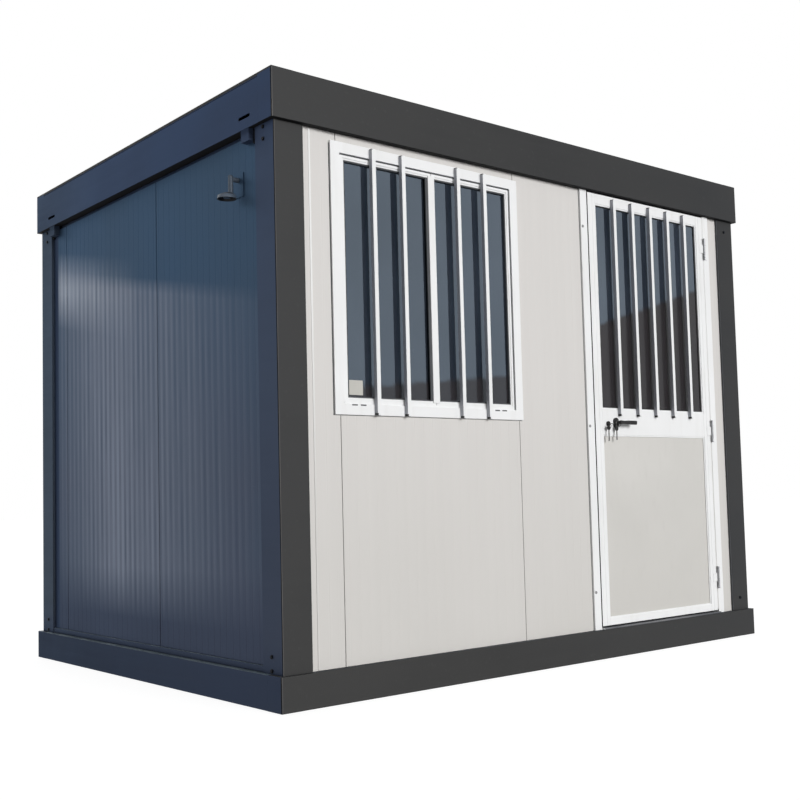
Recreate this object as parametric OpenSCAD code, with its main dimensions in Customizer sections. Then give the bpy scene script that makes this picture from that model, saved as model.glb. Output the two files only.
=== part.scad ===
// Single-room site cabin: a folded-steel frame, sandwich-panel walls, one
// barred two-sash window and one barred, glazed aluminium door.
// Millimetres. X runs along the long front, the front wall faces -Y, +Z is up.
// The origin is on the ground, at the centre of the four corner posts.

/* [Frame] */
// Length over the corner posts
frame_l = 3000; // [2900:10:3600]
// Width over the corner posts
frame_w = 2300; // [2200:10:2700]
// Height from the ground to the top of the roof frame
height = 2460; // [2440:10:2700]
// How far the base and roof frames stand out past the posts
overhang = 20; // [10:1:40]
// Height of the base frame
base_h = 135; // [120:1:180]
// Height of the roof frame
roof_h = 200; // [160:1:240]
// Width of each face of a corner post
post_w = 135; // [110:1:160]
// Thickness of the folded steel in posts and beams
steel_t = 4; // [3:0.5:6]
// Radius of the posts' outer corner fold
fold_r = 6; // [4.5:0.5:10]
// Depth of the beams' flanges
flange_w = 80; // [75:1:100]
// Length of each side of a corner box
corner_l = 100; // [90:1:130]
// Wall thickness of a corner box
corner_t = 8; // [6:1:12]

/* [Knees and slots of the end roof beams] */
// Length of the knee plate beside each post
knee_l = 100; // [60:1:140]
// Depth of the knee plate below the beam
knee_h = 50; // [30:1:80]
// How far the knee plate lies behind the beam's face
knee_in = 2; // [0:0.5:6]
// Distance from the frame's corner to the sling slot
slot_from_corner = 158; // [120:1:220]
// Length of the sling slot
slot_l = 86; // [50:1:110]
// Height of the sling slot
slot_h = 14; // [8:1:24]
// Height of the slot's centre above the bottom of the roof frame
slot_up = 72; // [50:1:100]

/* [Floor] */
// Thickness of the floor deck
deck_t = 18; // [15:1:25]
// Width of a floor joist
joist_w = 50; // [40:1:80]
// Distance between floor joists
joist_pitch = 600; // [500:10:680]
// Joists on each side of the middle one
joists_beside = 2; // [1:1:2]

/* [Roof] */
// Thickness of the insulated ceiling panel
ceiling_t = 40; // [30:1:60]
// Depth of the roof sheet's profile
roof_sheet_h = 20; // [12:1:30]
// Thickness of the roof sheet between its ribs
roof_skin_t = 3; // [2:0.5:5]
// Number of ribs in the roof sheet
roof_ribs = 12; // [8:1:14]
// Width of a rib's crest
rib_crest_w = 40; // [24:1:60]
// Width of a rib's foot
rib_foot_w = 70; // [64:1:100]

/* [Walls] */
// Thickness of a wall panel
wall_t = 40; // [35:1:60]
// How far the walls lie behind the posts' faces
wall_inset = 12; // [10:1:18]
// Width of a whole wall panel
module_w = 1000; // [980:1:1020]
// Distance from the left post's face to the first joint in the front wall
front_joint = 300; // [280:1:310]
// Distance from the front post's face to the first joint in an end wall
end_joint = 1000; // [900:1:1050]
// Open gap over the end walls, under the roof frame
end_gap = 20; // [10:1:30]
// How far the strip that closes this gap lies behind the wall's face
gap_depth = 14; // [10:1:20]

/* [Window] */
// How far the window frame laps over the panel at its left
window_lap_left = 32; // [24:1:40]
// How far the window frame laps over the panel at its right
window_lap_right = 16; // [10:1:24]
// Distance from the top of the window frame to the roof frame
window_head = 34; // [24:1:80]
// Height over the window frame
window_h = 1104; // [900:1:1110]
// Width of the window frame's face
window_face = 45; // [44:1:60]
// How far window and door frames lap over the wall panels
frame_lap = 18; // [12:1:24]
// How far window and door frames stand out from the wall's outer face
frame_out = 10; // [6:1:11]
// How far they stand out from its inner face
frame_in = 4; // [2:1:8]
// How far the sashes lie behind the frame's face
sash_in = 6; // [3:0.5:8]
// Width of a sash's face
sash_face = 25; // [20:1:35]
// Width over the two meeting stiles
meeting_face = 36; // [30:1:50]
// Gap between the two meeting stiles
meeting_gap = 2; // [1.5:0.5:3]
// Thickness of a sash
sash_t = 20; // [16:0.5:21]
// Free height over the sashes
sash_play = 2; // [1:0.5:4]
// Thickness of the glass in window and door
glass_t = 6; // [4:1:8]
// Side of a square security bar
bar_w = 20; // [12:1:24]
// How far a window bar ends below the top of the frame
bar_end = 6; // [0:1:20]
// How far the bars' middle lies left of the window's middle
bars_left = 7; // [0:1:15]
// Distance from the bars' middle to the inner bars
bar_inner = 155; // [120:1:200]
// Distance from the bars' middle to the outer bars
bar_outer = 312; // [280:1:360]

/* [Door] */
// Distance from the right post's face to the door frame
door_right = 220; // [190:1:300]
// Width over the door frame
door_w = 1028; // [900:1:1060]
// Width of a door jamb's face
jamb_w = 47; // [40:1:60]
// Gap round the closed door leaf
leaf_gap = 7; // [6:0.5:10]
// Gap between the closed leaf and the stop behind it
stop_gap = 5; // [5:0.5:8]
// How far the stop laps behind the leaf
stop_lap = 15; // [10:1:20]
// Thickness of the door leaf
leaf_t = 40; // [36:1:40]
// Width of the leaf's stiles
stile_w = 54; // [45:1:70]
// Height of the leaf's top rail
top_rail_h = 50; // [40:1:80]
// Height of the leaf's bottom rail
bottom_rail_h = 34; // [30:1:90]
// Height of the lock rail's lower edge above the ground
lock_rail_z = 1064; // [950:1:1090]
// Height of the lock rail
lock_rail_h = 126; // [110:1:180]
// How far the glass lies behind the leaf's face
door_glass_in = 12; // [8:1:18]
// Thickness of the door's lower panel
door_panel_t = 24; // [16:1:28]
// How far the lower panel lies behind the leaf's face
door_panel_in = 8; // [4:1:10]
// Thickness of the threshold plate
threshold_t = 8; // [6:1:12]
// How far the threshold plate stops short of the base frame's face
threshold_back = 6; // [3:1:12]
// Number of bars over the door's glass
door_bars_n = 5; // [3:1:6]
// Distance between the door's bars
door_bar_pitch = 141; // [100:1:142]
// How far a door bar laps onto the lock rail
bar_lap_low = 32; // [20:1:40]
// How far a door bar laps onto the top rail
bar_lap_top = 34; // [20:1:38]

/* [Hinges] */
// Height of a hinge
hinge_h = 115; // [90:1:150]
// Radius of the hinge barrel
barrel_r = 8; // [7:0.5:9]
// Radius of the hinge pin
pin_r = 4; // [3:0.5:5]
// Radial clearance of the pin in the leaf's knuckle
pin_clear = 0.1; // [0.05:0.01:0.2]
// Height of the leaf's knuckle
knuckle_h = 45; // [35:1:60]
// Gap between knuckles
knuckle_gap = 1; // [0.5:0.1:2]
// Thickness of the hinge plates
plate_t = 4; // [3:0.5:5]
// Reach of the hinge plates from the pin
plate_w = 34; // [26:1:44]
// Distance of the pin in front of the leaf's face
pin_out = 10; // [9.5:0.5:12]
// Height of the lower hinge's centre above the ground
hinge_low_z = 322; // [250:1:450]
// Height of the middle hinge's centre above the ground
hinge_mid_z = 1096; // [1000:1:1200]
// Distance from the roof frame down to the upper hinge's centre
hinge_top_drop = 180; // [110:1:360]

/* [Lock] */
// Distance from the leaf's free edge to the lever's spindle
spindle_in = 146; // [130:1:200]
// Height of the spindle above the ground
spindle_z = 1124; // [1110:1:1140]
// Width of the rose
rose_w = 34; // [30:1:40]
// Height of the rose
rose_h = 50; // [44:1:60]
// Thickness of the rose
rose_t = 9; // [6:1:12]
// Distance from the spindle to the key cylinder
cylinder_side = 56; // [50:1:64]
// Radius of the key cylinder's cap
cylinder_r = 13; // [10:1:15]
// Thickness of the key cylinder's cap
cylinder_t = 7; // [5:1:10]
// Radius of the lever's neck
neck_r = 8; // [6:0.5:9]
// Clearance between the lever's neck and the rose
neck_clear = 0.1; // [0.05:0.01:0.2]
// Gap between the neck's end and the leaf
neck_play = 0.5; // [0.3:0.1:1]
// Distance from the rose's face to the lever
neck_l = 24; // [18:1:32]
// Length of the lever from the spindle to its tip
lever_l = 112; // [100:1:130]
// Height of the lever's grip
lever_h = 20; // [17:1:24]
// Thickness of the lever's grip
lever_t = 13; // [10:1:16]

/* [Power inlet] */
// Distance from the front post's face to the inlet's middle
inlet_y = 280; // [250:1:400]
// Distance from the roof frame down to the inlet's mouth
inlet_drop = 263; // [250:1:500]
// Distance from the wall to the middle of the mouth
inlet_reach = 57; // [50:1:70]
// Radius over the collar at the mouth
inlet_collar_r = 39; // [36:1:44]
// Height of the collar
inlet_collar_h = 14; // [12:1:18]
// Height of the shoulder above the collar
inlet_shoulder_h = 10; // [8:1:14]
// How far the shoulder slopes in
inlet_slope = 5; // [3:0.5:5]
// Radius of the socket in the mouth
inlet_bore_r = 33; // [30:1:34]
// Depth of the socket
inlet_bore_h = 18; // [14:1:18]
// Radius of the tube above the mouth
inlet_tube_r = 13; // [11:0.5:14]
// How far the tube stands nearer the wall than the mouth's middle
inlet_tube_in = 19; // [15:1:20]
// Height of the mouth and tube together
inlet_h = 100; // [80:1:110]
// Radius of the neck between the tube and the wall plate
inlet_neck_r = 10; // [8:0.5:10.5]
// Distance from the tube's top down to the neck's middle
inlet_neck_drop = 16; // [13:1:20]
// Distance from the mouth up to the wall plate
inlet_plate_up = 14; // [8:1:20]
// Width of the wall plate
inlet_plate_w = 76; // [64:1:100]
// Height of the wall plate
inlet_plate_h = 96; // [80:1:110]
// Thickness of the wall plate
inlet_plate_t = 8; // [5:1:12]

/* [Hidden] */
$fn = 48;

// Levels
wall_top = height - roof_h;
roof_z = wall_top;
eps = 1;

// Planes, counted from the outer corner of the front left post
trim_y = wall_inset - frame_out;
wall_back = wall_inset + wall_t;
trim_back = wall_back + frame_in;

// Window
window_joint = front_joint + module_w;
window_x = front_joint - window_lap_left;
window_x2 = window_joint + window_lap_right;
window_mid_x = (window_x + window_x2) / 2;
window_z = wall_top - window_head - window_h;
sash_split = window_mid_x + meeting_face / 4;
sash_z = window_z + window_face;
sash_h = window_h - 2 * window_face - sash_play;
sash_y = trim_y + sash_in;
meeting_stile = (meeting_face - meeting_gap) / 2;

// Door
door_x2 = frame_l - door_right;
door_x = door_x2 - door_w;
leaf_x = door_x + jamb_w + leaf_gap;
leaf_w = door_w - 2 * jamb_w - 2 * leaf_gap;
leaf_z = base_h + threshold_t + leaf_gap;
leaf_top = wall_top - leaf_gap;
leaf_mid_x = leaf_x + leaf_w / 2;
opening_x = leaf_x + stile_w;
opening_w = leaf_w - 2 * stile_w;
glass_z = lock_rail_z + lock_rail_h;
glass_top = leaf_top - top_rail_h;
panel_z = leaf_z + bottom_rail_h;
stop_y = trim_y + leaf_t + stop_gap;
hinge_x = leaf_x + leaf_w + leaf_gap / 2;
hinge_y = trim_y - pin_out;
hinge_levels = [hinge_low_z, hinge_mid_z, wall_top - hinge_top_drop];
spindle_x = leaf_x + spindle_in;
rose_y = trim_y - rose_t;

// Inlet
inlet_x = wall_inset - inlet_reach;
inlet_z = wall_top - inlet_drop;

// Moves the post-corner coordinates onto the origin.
module placed() {
    translate([-frame_l / 2, -frame_w / 2, 0]) children();
}

// A block between two opposite corners.
module block(low, high) {
    translate(low) cube(high - low);
}

// Copies a piece of the left end to the right end, or of the front to the back.
module at_right() {
    translate([frame_l, 0, 0]) mirror([1, 0, 0]) children();
}
module at_back() {
    translate([0, frame_w, 0]) mirror([0, 1, 0]) children();
}
module at_four_corners() {
    children();
    at_right() children();
    at_back() children();
    at_right() at_back() children();
}

// Section of a beam: web at the outer side, flanges pointing inwards.
module beam_section(h) {
    difference() {
        square([flange_w, h]);
        translate([steel_t, steel_t]) square([flange_w, h - 2 * steel_t]);
    }
}

// A beam of the front side and one of the left side, at level z.
module front_beam(z, h) {
    translate([corner_l - overhang, -overhang, z])
        rotate([90, 0, 90])
            linear_extrude(frame_l + 2 * overhang - 2 * corner_l) beam_section(h);
}
module left_beam(z, h) {
    translate([-overhang, frame_w + overhang - corner_l, z])
        rotate([90, 0, 0])
            linear_extrude(frame_w + 2 * overhang - 2 * corner_l) beam_section(h);
}

// Hollow corner box, open towards the inside of the cabin.
module corner_box(z, h) {
    translate([-overhang, -overhang, z])
        difference() {
            cube([corner_l, corner_l, h]);
            translate([corner_t, corner_t, corner_t]) cube([corner_l, corner_l, h - 2 * corner_t]);
        }
}

module base_beam_front() { color("#444444") placed() front_beam(0, base_h); }
module base_beam_back() { color("#444444") placed() at_back() front_beam(0, base_h); }
module base_beam_left() { color("#3c4350") placed() left_beam(0, base_h); }
module base_beam_right() { color("#3c4350") placed() at_right() left_beam(0, base_h); }
module base_corners() {
    color("#444444") placed() at_four_corners() corner_box(0, base_h);
}

// Joists run from front to back between the base beams' webs. The middle one
// is deeper and rests on the ground.
module floor_joists() {
    joist_top = base_h - deck_t;
    color("#4a4a4a") placed()
        for (i = [-joists_beside : joists_beside])
            translate([frame_l / 2 + i * joist_pitch - joist_w / 2, 0, 0])
                if (i == 0)
                    block([0, flange_w - overhang, 0],
                          [joist_w, frame_w + overhang - flange_w, joist_top]);
                else
                    block([0, steel_t - overhang, steel_t],
                          [joist_w, frame_w + overhang - steel_t, joist_top]);
}

// The deck lies on the joists, between the beams' top flanges, and is notched
// round the corner boxes.
module floor_deck() {
    color("#8d8f90") placed()
        difference() {
            block([flange_w - overhang, flange_w - overhang, base_h - deck_t],
                  [frame_l + overhang - flange_w, frame_w + overhang - flange_w, base_h]);
            at_four_corners()
                block([-overhang - eps, -overhang - eps, base_h - deck_t - eps],
                      [corner_l - overhang, corner_l - overhang, base_h + eps]);
        }
}

// Corner post: a folded L with returns that meet the wall panels, and a plate
// at the head and the foot.
module post() {
    post_h = wall_top - base_h;
    translate([0, 0, base_h]) {
        linear_extrude(post_h)
            difference() {
                post_outline();
                difference() {
                    translate([steel_t, steel_t]) square(post_w - 2 * steel_t);
                    translate([steel_t, steel_t]) fold_fill(fold_r - steel_t);
                }
            }
        for (z = [0, post_h - corner_t])
            translate([0, 0, z]) linear_extrude(corner_t) post_outline();
    }
}
module post_outline() {
    difference() {
        square(post_w);
        fold_fill(fold_r);
        translate([wall_inset, wall_inset]) square(post_w);
    }
}
// What a rounded corner of radius r leaves outside its arc.
module fold_fill(r) {
    difference() {
        square(r);
        translate([r, r]) circle(r);
    }
}
module post_front_left() { color("#444444") placed() post(); }
module post_front_right() { color("#444444") placed() at_right() post(); }
module post_back_left() { color("#444444") placed() at_back() post(); }
module post_back_right() { color("#444444") placed() at_right() at_back() post(); }

module roof_beam_front() { color("#444444") placed() front_beam(roof_z, roof_h); }
module roof_beam_back() { color("#444444") placed() at_back() front_beam(roof_z, roof_h); }

// End roof beam: it also has a knee plate beside each post, a strip that
// closes the gap over the end wall, and two sling slots.
module end_roof_beam() {
    strip_x = wall_inset + gap_depth;
    difference() {
        union() {
            left_beam(roof_z, roof_h);
            for (y = [post_w, frame_w - post_w - knee_l])
                block([knee_in - overhang, y, roof_z - knee_h], [wall_inset, y + knee_l, roof_z]);
            block([strip_x, wall_back, roof_z - end_gap],
                  [wall_back, frame_w - wall_back, roof_z]);
        }
        for (y = [slot_from_corner - overhang, frame_w + overhang - slot_from_corner - slot_l])
            translate([-overhang, y, roof_z + slot_up]) sling_slot();
    }
}
module sling_slot() {
    r = slot_h / 2;
    for (y = [r, slot_l - r])
        translate([-eps, y, 0]) rotate([0, 90, 0]) cylinder(r = r, h = steel_t + 2 * eps);
    block([-eps, r, -r], [steel_t + eps, slot_l - r, r]);
}
module roof_beam_left() { color("#3c4350") placed() end_roof_beam(); }
module roof_beam_right() { color("#3c4350") placed() at_right() end_roof_beam(); }

module roof_corners() {
    color("#444444") placed() at_four_corners() corner_box(roof_z, roof_h);
}

// Section of the roof sheet from x1 to x2: a thin sheet with raised ribs.
module roof_section(x1, x2) {
    pitch = (x2 - x1) / roof_ribs;
    translate([x1, 0]) square([x2 - x1, roof_skin_t]);
    for (i = [0 : roof_ribs - 1])
        translate([x1 + (i + 0.5) * pitch, 0])
            polygon([
                [-rib_foot_w / 2, 0],
                [rib_foot_w / 2, 0],
                [rib_foot_w / 2, roof_skin_t],
                [rib_crest_w / 2, roof_sheet_h],
                [-rib_crest_w / 2, roof_sheet_h],
                [-rib_foot_w / 2, roof_skin_t]
            ]);
}

// The roof sheet lies under the beams' top flanges and corner boxes.
module roof_sheet() {
    top = height - corner_t;
    color("#a9adb0") placed()
        difference() {
            translate([0, frame_w + overhang - steel_t, height - steel_t - roof_sheet_h])
                rotate([90, 0, 0])
                    linear_extrude(frame_w + 2 * (overhang - steel_t))
                        roof_section(steel_t - overhang, frame_l + overhang - steel_t);
            at_four_corners()
                block([-overhang - eps, -overhang - eps, top - roof_sheet_h - eps],
                      [corner_l - overhang, corner_l - overhang, height + eps]);
        }
}

// The ceiling panel rests on the roof beams' bottom flanges.
module ceiling_panel() {
    z = roof_z + steel_t;
    color("#e4e4e2") placed()
        difference() {
            block([steel_t - overhang, steel_t - overhang, z],
                  [frame_l + overhang - steel_t, frame_w + overhang - steel_t, z + ceiling_t]);
            at_four_corners()
                block([-overhang - eps, -overhang - eps, z - eps],
                      [corner_l - overhang, corner_l - overhang, z + ceiling_t + eps]);
        }
}

// A front wall panel from x1 to x2 and from z1 to z2.
module front_panel(x1, x2, z1 = base_h, z2 = wall_top) {
    block([x1, wall_inset, z1], [x2, wall_back, z2]);
}
module front_wall_left() { color("#d6d3cf") placed() front_panel(wall_inset, front_joint); }
// One module holds the window: a panel below it and a strip over it.
module front_wall_window() {
    color("#d6d3cf") placed() {
        front_panel(front_joint, window_joint, base_h, window_z + frame_lap);
        front_panel(front_joint, window_joint, window_z + window_h - frame_lap, wall_top);
    }
}
module front_wall_middle() {
    color("#d6d3cf") placed() front_panel(window_joint, door_x + frame_lap);
}
module front_wall_right() {
    color("#d6d3cf") placed() front_panel(door_x2 - frame_lap, frame_l - wall_inset);
}

// An end wall panel from y1 to y2.
module end_panel(y1, y2) {
    block([wall_inset, y1, base_h], [wall_back, y2, wall_top - end_gap]);
}
module end_wall_front() { end_panel(wall_back, end_joint); }
module end_wall_middle() { end_panel(end_joint, end_joint + module_w); }
module end_wall_back() { end_panel(end_joint + module_w, frame_w - wall_back); }
module left_wall_front() { color("#3c4658") placed() end_wall_front(); }
module left_wall_middle() { color("#3c4658") placed() end_wall_middle(); }
module left_wall_back() { color("#3c4658") placed() end_wall_back(); }
module right_wall_front() { color("#3c4658") placed() at_right() end_wall_front(); }
module right_wall_middle() { color("#3c4658") placed() at_right() end_wall_middle(); }
module right_wall_back() { color("#3c4658") placed() at_right() end_wall_back(); }

// The back wall has whole modules from its left end and a cut one at its right.
module back_wall_left() {
    color("#d6d3cf") placed() at_back() front_panel(wall_inset, module_w);
}
module back_wall_middle() {
    color("#d6d3cf") placed() at_back() front_panel(module_w, 2 * module_w);
}
module back_wall_right() {
    color("#d6d3cf") placed() at_back() front_panel(2 * module_w, frame_l - wall_inset);
}

module window_frame() {
    color("#f4f4f4") placed()
        difference() {
            union() {
                block([window_x, trim_y, window_z], [window_x2, wall_inset, window_z + window_h]);
                block([front_joint, wall_inset - eps, window_z + frame_lap],
                      [window_joint, trim_back, window_z + window_h - frame_lap]);
            }
            block([window_x + window_face, trim_y - eps, window_z + window_face],
                  [window_x2 - window_face, trim_back + eps, window_z + window_h - window_face]);
        }
}

// A sash from x1 to x2, as a rail round its pane; stile widths s1 and s2.
module sash(x1, x2, s1, s2) {
    difference() {
        block([x1, sash_y, sash_z], [x2, sash_y + sash_t, sash_z + sash_h]);
        block([x1 + s1, sash_y - eps, sash_z + sash_face],
              [x2 - s2, sash_y + sash_t + eps, sash_z + sash_h - sash_face]);
    }
}
module pane(x1, x2) {
    glass_y = sash_y + (sash_t - glass_t) / 2;
    block([x1, glass_y, sash_z + sash_face],
          [x2, glass_y + glass_t, sash_z + sash_h - sash_face]);
}
module window_sashes() {
    color("#f4f4f4") placed() {
        sash(window_x + window_face, sash_split - meeting_gap / 2, sash_face, meeting_stile);
        sash(sash_split + meeting_gap / 2, window_x2 - window_face, meeting_stile, sash_face);
    }
}
module window_glass() {
    color("#2c3640", 0.6) placed() {
        pane(window_x + window_face + sash_face, sash_split - meeting_face / 2);
        pane(sash_split + meeting_face / 2, window_x2 - window_face - sash_face);
    }
}

// A square upright bar on the face of the window frame or the door leaf.
module bar(x, z1, z2) {
    block([x - bar_w / 2, trim_y - bar_w, z1], [x + bar_w / 2, trim_y, z2]);
}
module window_bars() {
    bars_mid = window_mid_x - bars_left;
    color("#f4f4f4") placed()
        for (d = [-bar_outer, -bar_inner, bar_inner, bar_outer])
            bar(bars_mid + d, window_z, window_z + window_h - bar_end);
}

// Door frame: two jambs with stops, a head stop, and the threshold plate.
module door_frame() {
    stop_x = jamb_w + leaf_gap + stop_lap;
    stop_top = leaf_top - stop_lap;
    threshold_top = base_h + threshold_t;
    color("#f4f4f4") placed() {
        for (side = [0, 1])
            translate([side * (door_x + door_x2), 0, 0]) mirror([side, 0, 0]) {
                block([door_x, trim_y, base_h], [door_x + jamb_w, wall_inset, wall_top]);
                block([door_x + frame_lap, trim_y, base_h],
                      [door_x + jamb_w, trim_back, wall_top]);
                block([door_x + frame_lap, stop_y, base_h],
                      [door_x + stop_x, trim_back, wall_top]);
            }
        block([door_x + jamb_w, stop_y, stop_top], [door_x2 - jamb_w, trim_back, wall_top]);
        block([door_x + jamb_w, threshold_back - overhang, base_h],
              [door_x2 - jamb_w, trim_back, threshold_top]);
        block([door_x + jamb_w, stop_y, base_h],
              [door_x2 - jamb_w, trim_back, leaf_z + stop_lap]);
    }
}

// Frame half of the hinges: a knuckle at each end, a plate behind each, and
// the pin through both.
module door_hinge_pins() {
    end_h = (hinge_h - knuckle_h) / 2 - knuckle_gap;
    color("#c9cbcc") placed()
        for (z = hinge_levels)
            translate([hinge_x, hinge_y, z - hinge_h / 2]) {
                cylinder(r = pin_r, h = hinge_h);
                for (dz = [0, hinge_h - end_h])
                    translate([0, 0, dz]) {
                        cylinder(r = barrel_r, h = end_h);
                        block([0, pin_out - plate_t, 0], [plate_w, pin_out, end_h]);
                    }
            }
}

// Leaf half of the hinges: the middle knuckle and its plate.
module door_knuckles() {
    color("#c9cbcc") placed()
        for (z = hinge_levels)
            translate([hinge_x, hinge_y, z - knuckle_h / 2])
                difference() {
                    union() {
                        cylinder(r = barrel_r, h = knuckle_h);
                        block([-plate_w, pin_out - plate_t, 0], [0, pin_out, knuckle_h]);
                    }
                    translate([0, 0, -eps])
                        cylinder(r = pin_r + pin_clear, h = knuckle_h + 2 * eps);
                }
}

module door_leaf() {
    color("#f4f4f4") placed()
        difference() {
            block([leaf_x, trim_y, leaf_z], [leaf_x + leaf_w, trim_y + leaf_t, leaf_top]);
            for (zone = [[panel_z, lock_rail_z], [glass_z, glass_top]])
                block([opening_x, trim_y - eps, zone[0]],
                      [opening_x + opening_w, trim_y + leaf_t + eps, zone[1]]);
        }
}
module door_glass() {
    y = trim_y + door_glass_in;
    color("#2c3640", 0.6) placed()
        block([opening_x, y, glass_z], [opening_x + opening_w, y + glass_t, glass_top]);
}
module door_panel() {
    y = trim_y + door_panel_in;
    color("#d2d0cc") placed()
        block([opening_x, y, panel_z], [opening_x + opening_w, y + door_panel_t, lock_rail_z]);
}
module door_bars() {
    color("#f4f4f4") placed()
        for (i = [0 : door_bars_n - 1])
            bar(leaf_mid_x + (i - (door_bars_n - 1) / 2) * door_bar_pitch,
                glass_z - bar_lap_low, glass_top + bar_lap_top);
}

// Rose of the lever and cap of the key cylinder, on the lock rail.
module door_lock() {
    r = rose_w / 2;
    color("#1c1c1c") placed() {
        difference() {
            union() {
                for (dz = [r - rose_h / 2, rose_h / 2 - r])
                    translate([spindle_x, trim_y, spindle_z + dz])
                        rotate([90, 0, 0]) cylinder(r = r, h = rose_t);
                block([spindle_x - r, rose_y, spindle_z + r - rose_h / 2],
                      [spindle_x + r, trim_y, spindle_z + rose_h / 2 - r]);
            }
            translate([spindle_x, trim_y + eps, spindle_z])
                rotate([90, 0, 0]) cylinder(r = neck_r + neck_clear, h = rose_t + 2 * eps);
        }
        translate([spindle_x - cylinder_side, trim_y, spindle_z])
            rotate([90, 0, 0]) cylinder(r = cylinder_r, h = cylinder_t);
    }
}

// Lever handle: a round neck out of the rose, and a grip towards the hinges.
module door_handle() {
    grip_y = rose_y - neck_l;
    r = lever_h / 2;
    color("#1c1c1c") placed() {
        translate([spindle_x, trim_y - neck_play, spindle_z])
            rotate([90, 0, 0]) cylinder(r = neck_r, h = rose_t + neck_l);
        for (x = [spindle_x, spindle_x + lever_l - r])
            translate([x, grip_y, spindle_z])
                rotate([90, 0, 0]) cylinder(r = r, h = lever_t);
        block([spindle_x, grip_y - lever_t, spindle_z - r],
              [spindle_x + lever_l - r, grip_y, spindle_z + r]);
    }
}

// Power inlet: a wall plate, a neck, and a tube that ends in a wide mouth facing down.
module power_inlet() {
    tube_x = inlet_x + inlet_tube_in;
    neck_z = inlet_z + inlet_h - inlet_neck_drop;
    color("#39404b") placed()
        difference() {
            union() {
                translate([inlet_x, inlet_y, inlet_z]) rotate_extrude() inlet_mouth();
                translate([tube_x, inlet_y, inlet_z + inlet_collar_h]) rotate_extrude() inlet_tube();
                translate([tube_x, inlet_y, neck_z]) rotate([0, 90, 0])
                    cylinder(r = inlet_neck_r, h = wall_inset - inlet_plate_t / 2 - tube_x);
                translate([wall_inset - inlet_plate_t, inlet_y - inlet_plate_w / 2, inlet_z + inlet_plate_up])
                    cube([inlet_plate_t, inlet_plate_w, inlet_plate_h]);
            }
            translate([inlet_x, inlet_y, inlet_z - eps])
                cylinder(r = inlet_bore_r, h = inlet_bore_h + eps);
        }
}
module inlet_mouth() {
    polygon([
        [0, 0],
        [inlet_collar_r, 0],
        [inlet_collar_r, inlet_collar_h],
        [inlet_collar_r - inlet_slope, inlet_collar_h + inlet_shoulder_h],
        [0, inlet_collar_h + inlet_shoulder_h]
    ]);
}
module inlet_tube() {
    tube_h = inlet_h - inlet_collar_h;
    polygon([
        [0, inlet_bore_h - inlet_collar_h + 1],
        [inlet_tube_r, inlet_bore_h - inlet_collar_h + 1],
        [inlet_tube_r, tube_h - inlet_tube_r / 2],
        [inlet_tube_r / 2, tube_h],
        [0, tube_h]
    ]);
}

base_beam_front();
base_beam_back();
base_beam_left();
base_beam_right();
base_corners();
floor_joists();
floor_deck();
post_front_left();
post_front_right();
post_back_left();
post_back_right();
roof_beam_front();
roof_beam_back();
roof_beam_left();
roof_beam_right();
roof_corners();
roof_sheet();
ceiling_panel();
front_wall_left();
front_wall_window();
front_wall_middle();
front_wall_right();
left_wall_front();
left_wall_middle();
left_wall_back();
right_wall_front();
right_wall_middle();
right_wall_back();
back_wall_left();
back_wall_middle();
back_wall_right();
window_frame();
window_sashes();
window_glass();
window_bars();
door_frame();
door_hinge_pins();
door_leaf();
door_glass();
door_panel();
door_bars();
door_knuckles();
door_lock();
door_handle();
power_inlet();
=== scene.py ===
import math
import bmesh
import bpy
from mathutils import Matrix, Vector


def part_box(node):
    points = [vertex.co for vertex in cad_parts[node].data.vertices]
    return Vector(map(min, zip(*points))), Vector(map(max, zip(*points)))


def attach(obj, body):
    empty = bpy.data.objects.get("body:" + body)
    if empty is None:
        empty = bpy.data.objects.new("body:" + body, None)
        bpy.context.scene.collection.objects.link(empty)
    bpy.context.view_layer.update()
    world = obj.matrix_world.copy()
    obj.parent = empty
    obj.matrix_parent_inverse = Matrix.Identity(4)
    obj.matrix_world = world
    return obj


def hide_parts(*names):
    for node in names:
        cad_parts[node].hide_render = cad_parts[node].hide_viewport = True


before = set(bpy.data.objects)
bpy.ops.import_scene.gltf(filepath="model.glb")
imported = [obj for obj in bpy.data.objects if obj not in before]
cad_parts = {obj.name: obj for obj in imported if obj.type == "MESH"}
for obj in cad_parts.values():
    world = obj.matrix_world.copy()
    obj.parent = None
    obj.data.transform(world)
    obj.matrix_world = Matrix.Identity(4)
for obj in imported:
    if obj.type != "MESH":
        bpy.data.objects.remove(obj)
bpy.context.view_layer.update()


# ----- the studio
# A plain pale floor in soft light: a broad low sun in front, a weaker one behind
# and an even white sky. The camera stands low, left of the near corner post.

class Tone:
    """A socket in a finish. Sums written with it add their Math nodes."""

    def __init__(self, tree, socket=None):
        self.tree = tree
        self.socket = socket

    def node(self, kind, settings=None, inputs=None, output=0):
        made = self.tree.nodes.new(kind)
        for name, value in (settings or {}).items():
            setattr(made, name, value)
        for name, value in (inputs or {}).items():
            if isinstance(value, Tone):
                self.tree.links.new(value.socket, made.inputs[name])
            else:
                made.inputs[name].default_value = value
        return Tone(self.tree, made.outputs[output])

    def feed(self, socket):
        self.tree.links.new(self.socket, socket)

    def maths(self, operation, a, b=0):
        return self.node("ShaderNodeMath", {"operation": operation}, {0: a, 1: b})

    def __add__(self, other):
        return self.maths("ADD", self, other)

    __radd__ = __add__

    def __sub__(self, other):
        return self.maths("SUBTRACT", self, other)

    def __rsub__(self, other):
        return self.maths("SUBTRACT", other, self)

    def __mul__(self, other):
        return self.maths("MULTIPLY", self, other)

    __rmul__ = __mul__


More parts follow.
